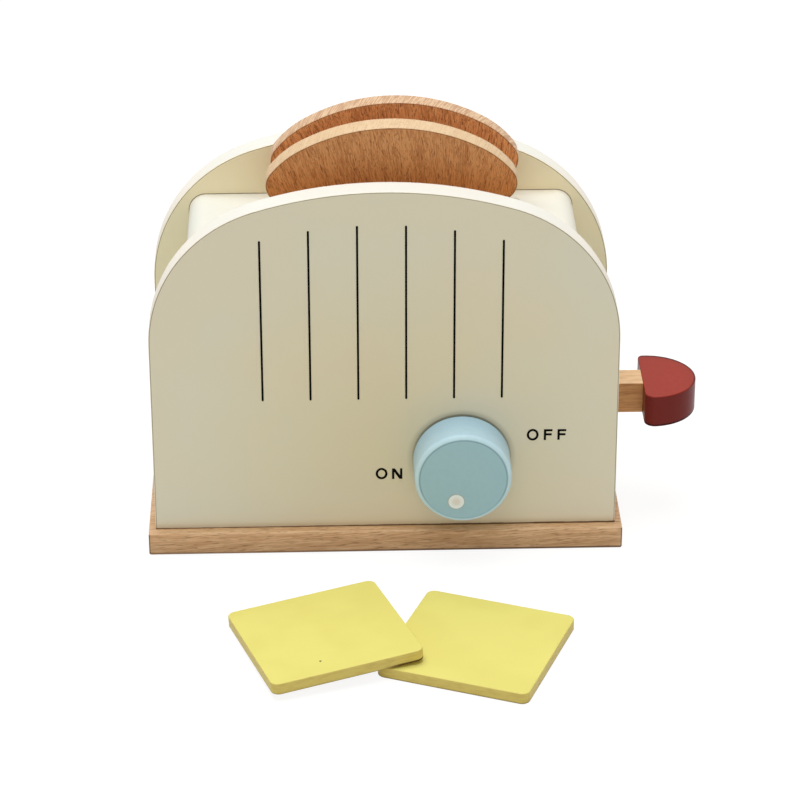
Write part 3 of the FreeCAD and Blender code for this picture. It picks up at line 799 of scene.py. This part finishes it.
cheeseSet = {
    "topColour": (233, 220, 121),
    "topDrift": (230, 216, 117),
    "driftSize": (30.0, 30.0, 30.0),
    "driftStep": (0.4, 0.6),
    "topStep": (0.5, 0.85),
    "sideColour": (226, 205, 114),
    "sideDark": (196, 166, 84),
    "streakSize": (5.0, 5.0, 1.0),
    "streakStep": (0.4, 0.7),
    "streakShare": (0.1, 0.42),
    "underside": -0.9,                 # its faces look down at least so far
    "lowerEdge": (104, 76, 28),        # painted contact shade on the lower rounding
    "lowerStartStep": (0.12, 0.45),
    "lowerEndStep": (0.9, 0.99),
    "lowerShare": 0.7,
    "lineHeights": (0.36, 0.9),        # and a painted shade line along the side's foot
    "lineStep": (0.3, 0.7),
    "lineShare": {"cheese_slice_left": 0.3, "cheese_slice_right": 0.65},
    "touchColour": (62, 32, 6),        # painted contact shadow where the left slice lies on the right one
    "touchAcross": (-4.0, 4.0),        # from nothing to full
    "touchHeights": (0.72, 1.2),
    "touchShare": 0.92,
    "touchStep": (0.7, 0.92),
    "pinhole": (-27.7, -139.7, 0.0),   # a pin mark in the left slice's top
    "pinholeRadii": (0.36, 0.6),
    "pinholeShare": 0.9,
    "pinholeColour": (40, 28, 14),
    "roughness": 0.48,
    "specular": 0.25,
}


def heightOver(tree, spot, node, look):     # over the flat underside of a slice, which may be tilted
    faces = [face for face in nodes[node].data.polygons if face.normal.z < look["underside"]]
    under = max(faces, key=lambda face: face.area)
    up = -under.normal
    dot = addNode(tree, "ShaderNodeVectorMath", operation="DOT_PRODUCT")
    feed(tree, dot.inputs, (spot, up))
    return minus(tree, dot.outputs["Value"], up.dot(under.center) / mm)


def upperSliceShadowAndPin(tree, spot, paint, height, down, look):     # painted contact shadow and a pin mark, on the slice that lies on the other
    touch = times(tree, between(tree, along(tree, spot, "x"), *look["touchAcross"]),
                  fade(tree, height, *look["touchHeights"], look["touchShare"]),
                  fade(tree, down, *look["touchStep"]))
    paint = mixed(tree, touch, paint, look["touchColour"])
    away = fromPoint(tree, spot, Vector(look["pinhole"]), "xy")
    hole = fade(tree, away, *look["pinholeRadii"], look["pinholeShare"])
    return mixed(tree, hole, paint, look["pinholeColour"])


def makeCheesePaint(name, node, look, upper=False):
    material, tree, shader = newFinish(name, look["specular"])
    spot = spotInMillimetres(tree)
    useSatin(tree, shader, spot, look)
    drift = between(tree, grain(tree, spot, look["driftSize"]), *look["driftStep"])
    top = mixed(tree, drift, look["topColour"], look["topDrift"])
    streaks = grain(tree, spot, look["streakSize"])
    streakMask = between(tree, streaks, *look["streakStep"], *look["streakShare"])
    side = mixed(tree, streakMask, look["sideColour"], look["sideDark"])
    upward = looking(tree, "z")
    paint = mixed(tree, between(tree, upward, *look["topStep"]), side, top)
    # painted contact shade along the lower edge
    down = times(tree, upward, -1.0)
    lower = times(tree, between(tree, down, *look["lowerStartStep"]),
                  fade(tree, down, *look["lowerEndStep"], look["lowerShare"]))
    height = heightOver(tree, spot, node, look)
    line = times(tree, fade(tree, height, *look["lineHeights"], look["lineShare"][node]),
                 fade(tree, facing(tree, "z"), *look["lineStep"]))
    paint = mixed(tree, largest(tree, lower, line), paint, look["lowerEdge"])
    if upper:
        paint = upperSliceShadowAndPin(tree, spot, paint, height, down, look)
    useColour(tree, shader, paint)
    return material


dress(makeCheesePaint("cheeseLeft", "cheese_slice_left", cheeseSet, upper=True), "cheese_slice_left")
dress(makeCheesePaint("cheeseRight", "cheese_slice_right", cheeseSet), "cheese_slice_right")
print("cheese ready")


# printed ink

inkSet = {
    "black": (4, 4, 4),
    "blackWorn": (14, 13, 12),
    "speckSize": (0.5, 0.5, 0.5),
    "speckStep": (0.5, 0.75),
    "blackSpecular": 0.05,
    "blackRoughness": 0.8,
    "white": (244, 250, 254),
    "whiteCentre": (234, 229, 226),
    "whiteRim": (160, 174, 172),
    "centreReach": (0.2, 0.75),        # shares of the dot's radius
    "rimWidth": 0.45,
    "whiteSpecular": 0.3,
    "whiteRoughness": 0.55,
}


def makeBlackInk(look):
    material, tree, shader = newFinish("blackInk", look["blackSpecular"], look["blackRoughness"])
    specks = grain(tree, spotInMillimetres(tree), look["speckSize"])
    wearAndHighlight = between(tree, specks, *look["speckStep"])
    useColour(tree, shader, mixed(tree, wearAndHighlight, look["black"], look["blackWorn"]))
    return material


def makeWhiteInk(look):
    material, tree, shader = newFinish("whiteInk", look["whiteSpecular"], look["whiteRoughness"])
    low, high = boxOf("knob_pointer_dot")
    radius = (high.x - low.x) / 2
    away = fromPoint(tree, spotInMillimetres(tree), (low + high) / 2, "xz")
    outer = between(tree, away, *(radius * share for share in look["centreReach"]))
    ink = mixed(tree, outer, look["whiteCentre"], look["white"])
    rim = between(tree, away, radius - look["rimWidth"], radius)
    useColour(tree, shader, mixed(tree, rim, ink, look["whiteRim"]))
    return material


blackInk = makeBlackInk(inkSet)
dress(blackInk, "slit_lines")
dress(makeWhiteInk(inkSet), "knob_pointer_dot")
print("ink ready")


# plywood of the tray

traySet = {
    "face": (222, 190, 146),
    "faceDeep": (204, 168, 122),
    "fibreSize": (14.0, 0.5, 0.5),
    "fibreStep": (0.4, 0.65),
    "layerDark": (172, 130, 88),
    "layers": 6,
    "layerStep": (-0.15, 0.15),        # of a wave that swings once over two layers
    "topStep": (0.5, 0.8),
    "depth": 0.03,
    "roughness": 0.6,
    "specular": 0.25,
}


def makePlywood(look):
    material, tree, shader = newFinish("trayPlywood", look["specular"], look["roughness"])
    spot = spotInMillimetres(tree)
    low, high = boxOf("carriage_tray")
    fibre = grain(tree, spot, look["fibreSize"], detail=3.0, roughness=0.6)
    face = mixed(tree, between(tree, fibre, *look["fibreStep"]), look["face"], look["faceDeep"])
    height = minus(tree, along(tree, spot, "z"), low.z)
    wave = calc(tree, "SINE", times(tree, height, math.pi * look["layers"] / (high.z - low.z)))
    edge = mixed(tree, between(tree, wave, *look["layerStep"]), look["face"], look["layerDark"])
    toTop = between(tree, facing(tree, "z"), *look["topStep"])
    useColour(tree, shader, mixed(tree, toTop, edge, face))
    useBump(tree, shader, fibre, look["depth"])
    return material


dress(makePlywood(traySet), "carriage_tray")
print("tray ready")


# zinc plate and spring steel

zincSet = {
    "bright": (196, 198, 196),
    "dull": (158, 162, 164),
    "wearSize": (1.2, 1.2, 1.2),
    "dullStep": (0.4, 0.7),
    "roughStep": (0.3, 0.7),
    "roughness": (0.24, 0.42),         # where least and most worn
    "depth": 0.01,
}
steelSet = dict(zincSet, bright=(168, 168, 166), dull=(120, 118, 114), wearSize=(0.6, 0.6, 0.6))


def makeMetal(name, look):
    material, tree, shader = newFinish(name, metallic=1.0)
    wear = grain(tree, spotInMillimetres(tree), look["wearSize"], detail=3.0, roughness=0.65)
    dullMask = between(tree, wear, *look["dullStep"])
    useColour(tree, shader, mixed(tree, dullMask, look["bright"], look["dull"]))
    rough = between(tree, wear, *look["roughStep"], *look["roughness"])
    tree.links.new(rough, shader.inputs["Roughness"])
    useBump(tree, shader, wear, look["depth"])
    return material


dress(makeMetal("zincPlate", zincSet), "base_screws", "tray_screws", "knob_screw", "knob_washer",
      "upper_spring_hooks", "lower_spring_hooks")
dress(makeMetal("springWire", steelSet), "return_spring_left", "return_spring_right")
print("metal ready")


# ON and OFF, printed beside the knob

letterSet = {
    "stroke": 0.92,                    # width of every line
    "thickness": 0.12,                 # ink on the panel
    "corner": 0.1,                     # rounding at every corner of the F and the N
    "ringSteps": 48,                   # straight pieces in each of the O's two ovals
    "armHeight": 0.52,                 # middle of the F's lower arm, as a share of the height
    "armWidth": 0.92,                  # its length, as a share of the width
    "slopeWidth": 1.25,                # the N's slope cuts its corners by so many strokes across
    "slopeHeight": 1.75,               # and so many strokes up
    "on": (
        ("O", -3.97, 31.63, 4.82, 5.21),     # letter, left, foot, width, height
        ("N", 2.72, 31.68, 4.22, 4.85),
    ),
    "off": (
        ("O", 57.86, 48.6, 4.81, 5.29),
        ("F", 64.83, 48.75, 3.5, 4.9),
        ("F", 70.41, 48.75, 3.56, 4.85),
    ),
}


def faceFrom(shape, corners):
    shape.faces.new([shape.verts.new((x, y, 0)) for x, y in corners])


def roundCorners(shape, settings):
    bmesh.ops.bevel(shape, geom=list(shape.verts), offset=settings["corner"], offset_type="OFFSET",
                    segments=2, profile=0.5, material=-1, affect="VERTICES")


def letterO(shape, width, height, settings):
    for inset in (0.0, settings["stroke"]):
        ring = bmesh.ops.create_circle(shape, segments=settings["ringSteps"], radius=1.0)["verts"]
        bmesh.ops.scale(shape, verts=ring, vec=(width / 2 - inset, height / 2 - inset, 1))
    bmesh.ops.bridge_loops(shape, edges=list(shape.edges))
    bmesh.ops.translate(shape, verts=shape.verts, vec=(width / 2, height / 2, 0))


def letterF(shape, width, height, settings):
    stroke = settings["stroke"]
    arm = height * settings["armHeight"] + stroke / 2
    armEnd = width * settings["armWidth"]
    faceFrom(shape, [(0, 0), (stroke, 0), (stroke, arm - stroke), (armEnd, arm - stroke), (armEnd, arm),
                     (stroke, arm), (stroke, height - stroke), (width, height - stroke),
                     (width, height), (0, height)])
    roundCorners(shape, settings)


def letterN(shape, width, height, settings):
    stroke = settings["stroke"]
    across = stroke * settings["slopeWidth"]
    up = stroke * settings["slopeHeight"]
    faceFrom(shape, [(0, 0), (stroke, 0), (stroke, height - up), (width - across, 0), (width, 0),
                     (width, height), (width - stroke, height), (width - stroke, up),
                     (across, height), (0, height)])
    roundCorners(shape, settings)


def printWord(name, letters, settings):
    shape = bmesh.new()
    for letter, left, foot, width, height in letters:
        glyph = bmesh.new()
        draw = {"O": letterO, "F": letterF, "N": letterN}[letter]
        draw(glyph, width, height, settings)
        raised = bmesh.ops.extrude_face_region(glyph, geom=list(glyph.faces))["geom"]
        upperVerts = [v for v in raised if isinstance(v, bmesh.types.BMVert)]
        bmesh.ops.translate(glyph, verts=upperVerts, vec=(0, 0, settings["thickness"]))
        bmesh.ops.translate(glyph, verts=glyph.verts, vec=(left, foot, 0))
        whole = bpy.data.meshes.new("glyph")
        glyph.to_mesh(whole)
        glyph.free()
        shape.from_mesh(whole)
        bpy.data.meshes.remove(whole)
    bmesh.ops.recalc_face_normals(shape, faces=shape.faces)
    upright = Matrix.Rotation(math.pi / 2, 4, "X") @ Matrix.Scale(mm, 4)
    onPanel = Matrix.Translation((0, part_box("front_panel")[0].y, 0)) @ upright
    bmesh.ops.transform(shape, matrix=onPanel, verts=shape.verts)
    word = pieceFrom(name, shape)
    word.data.materials.append(blackInk)
    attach(word, "casing")


printWord("word_on", letterSet["on"], letterSet)
printWord("word_off", letterSet["off"], letterSet)
print("words printed")
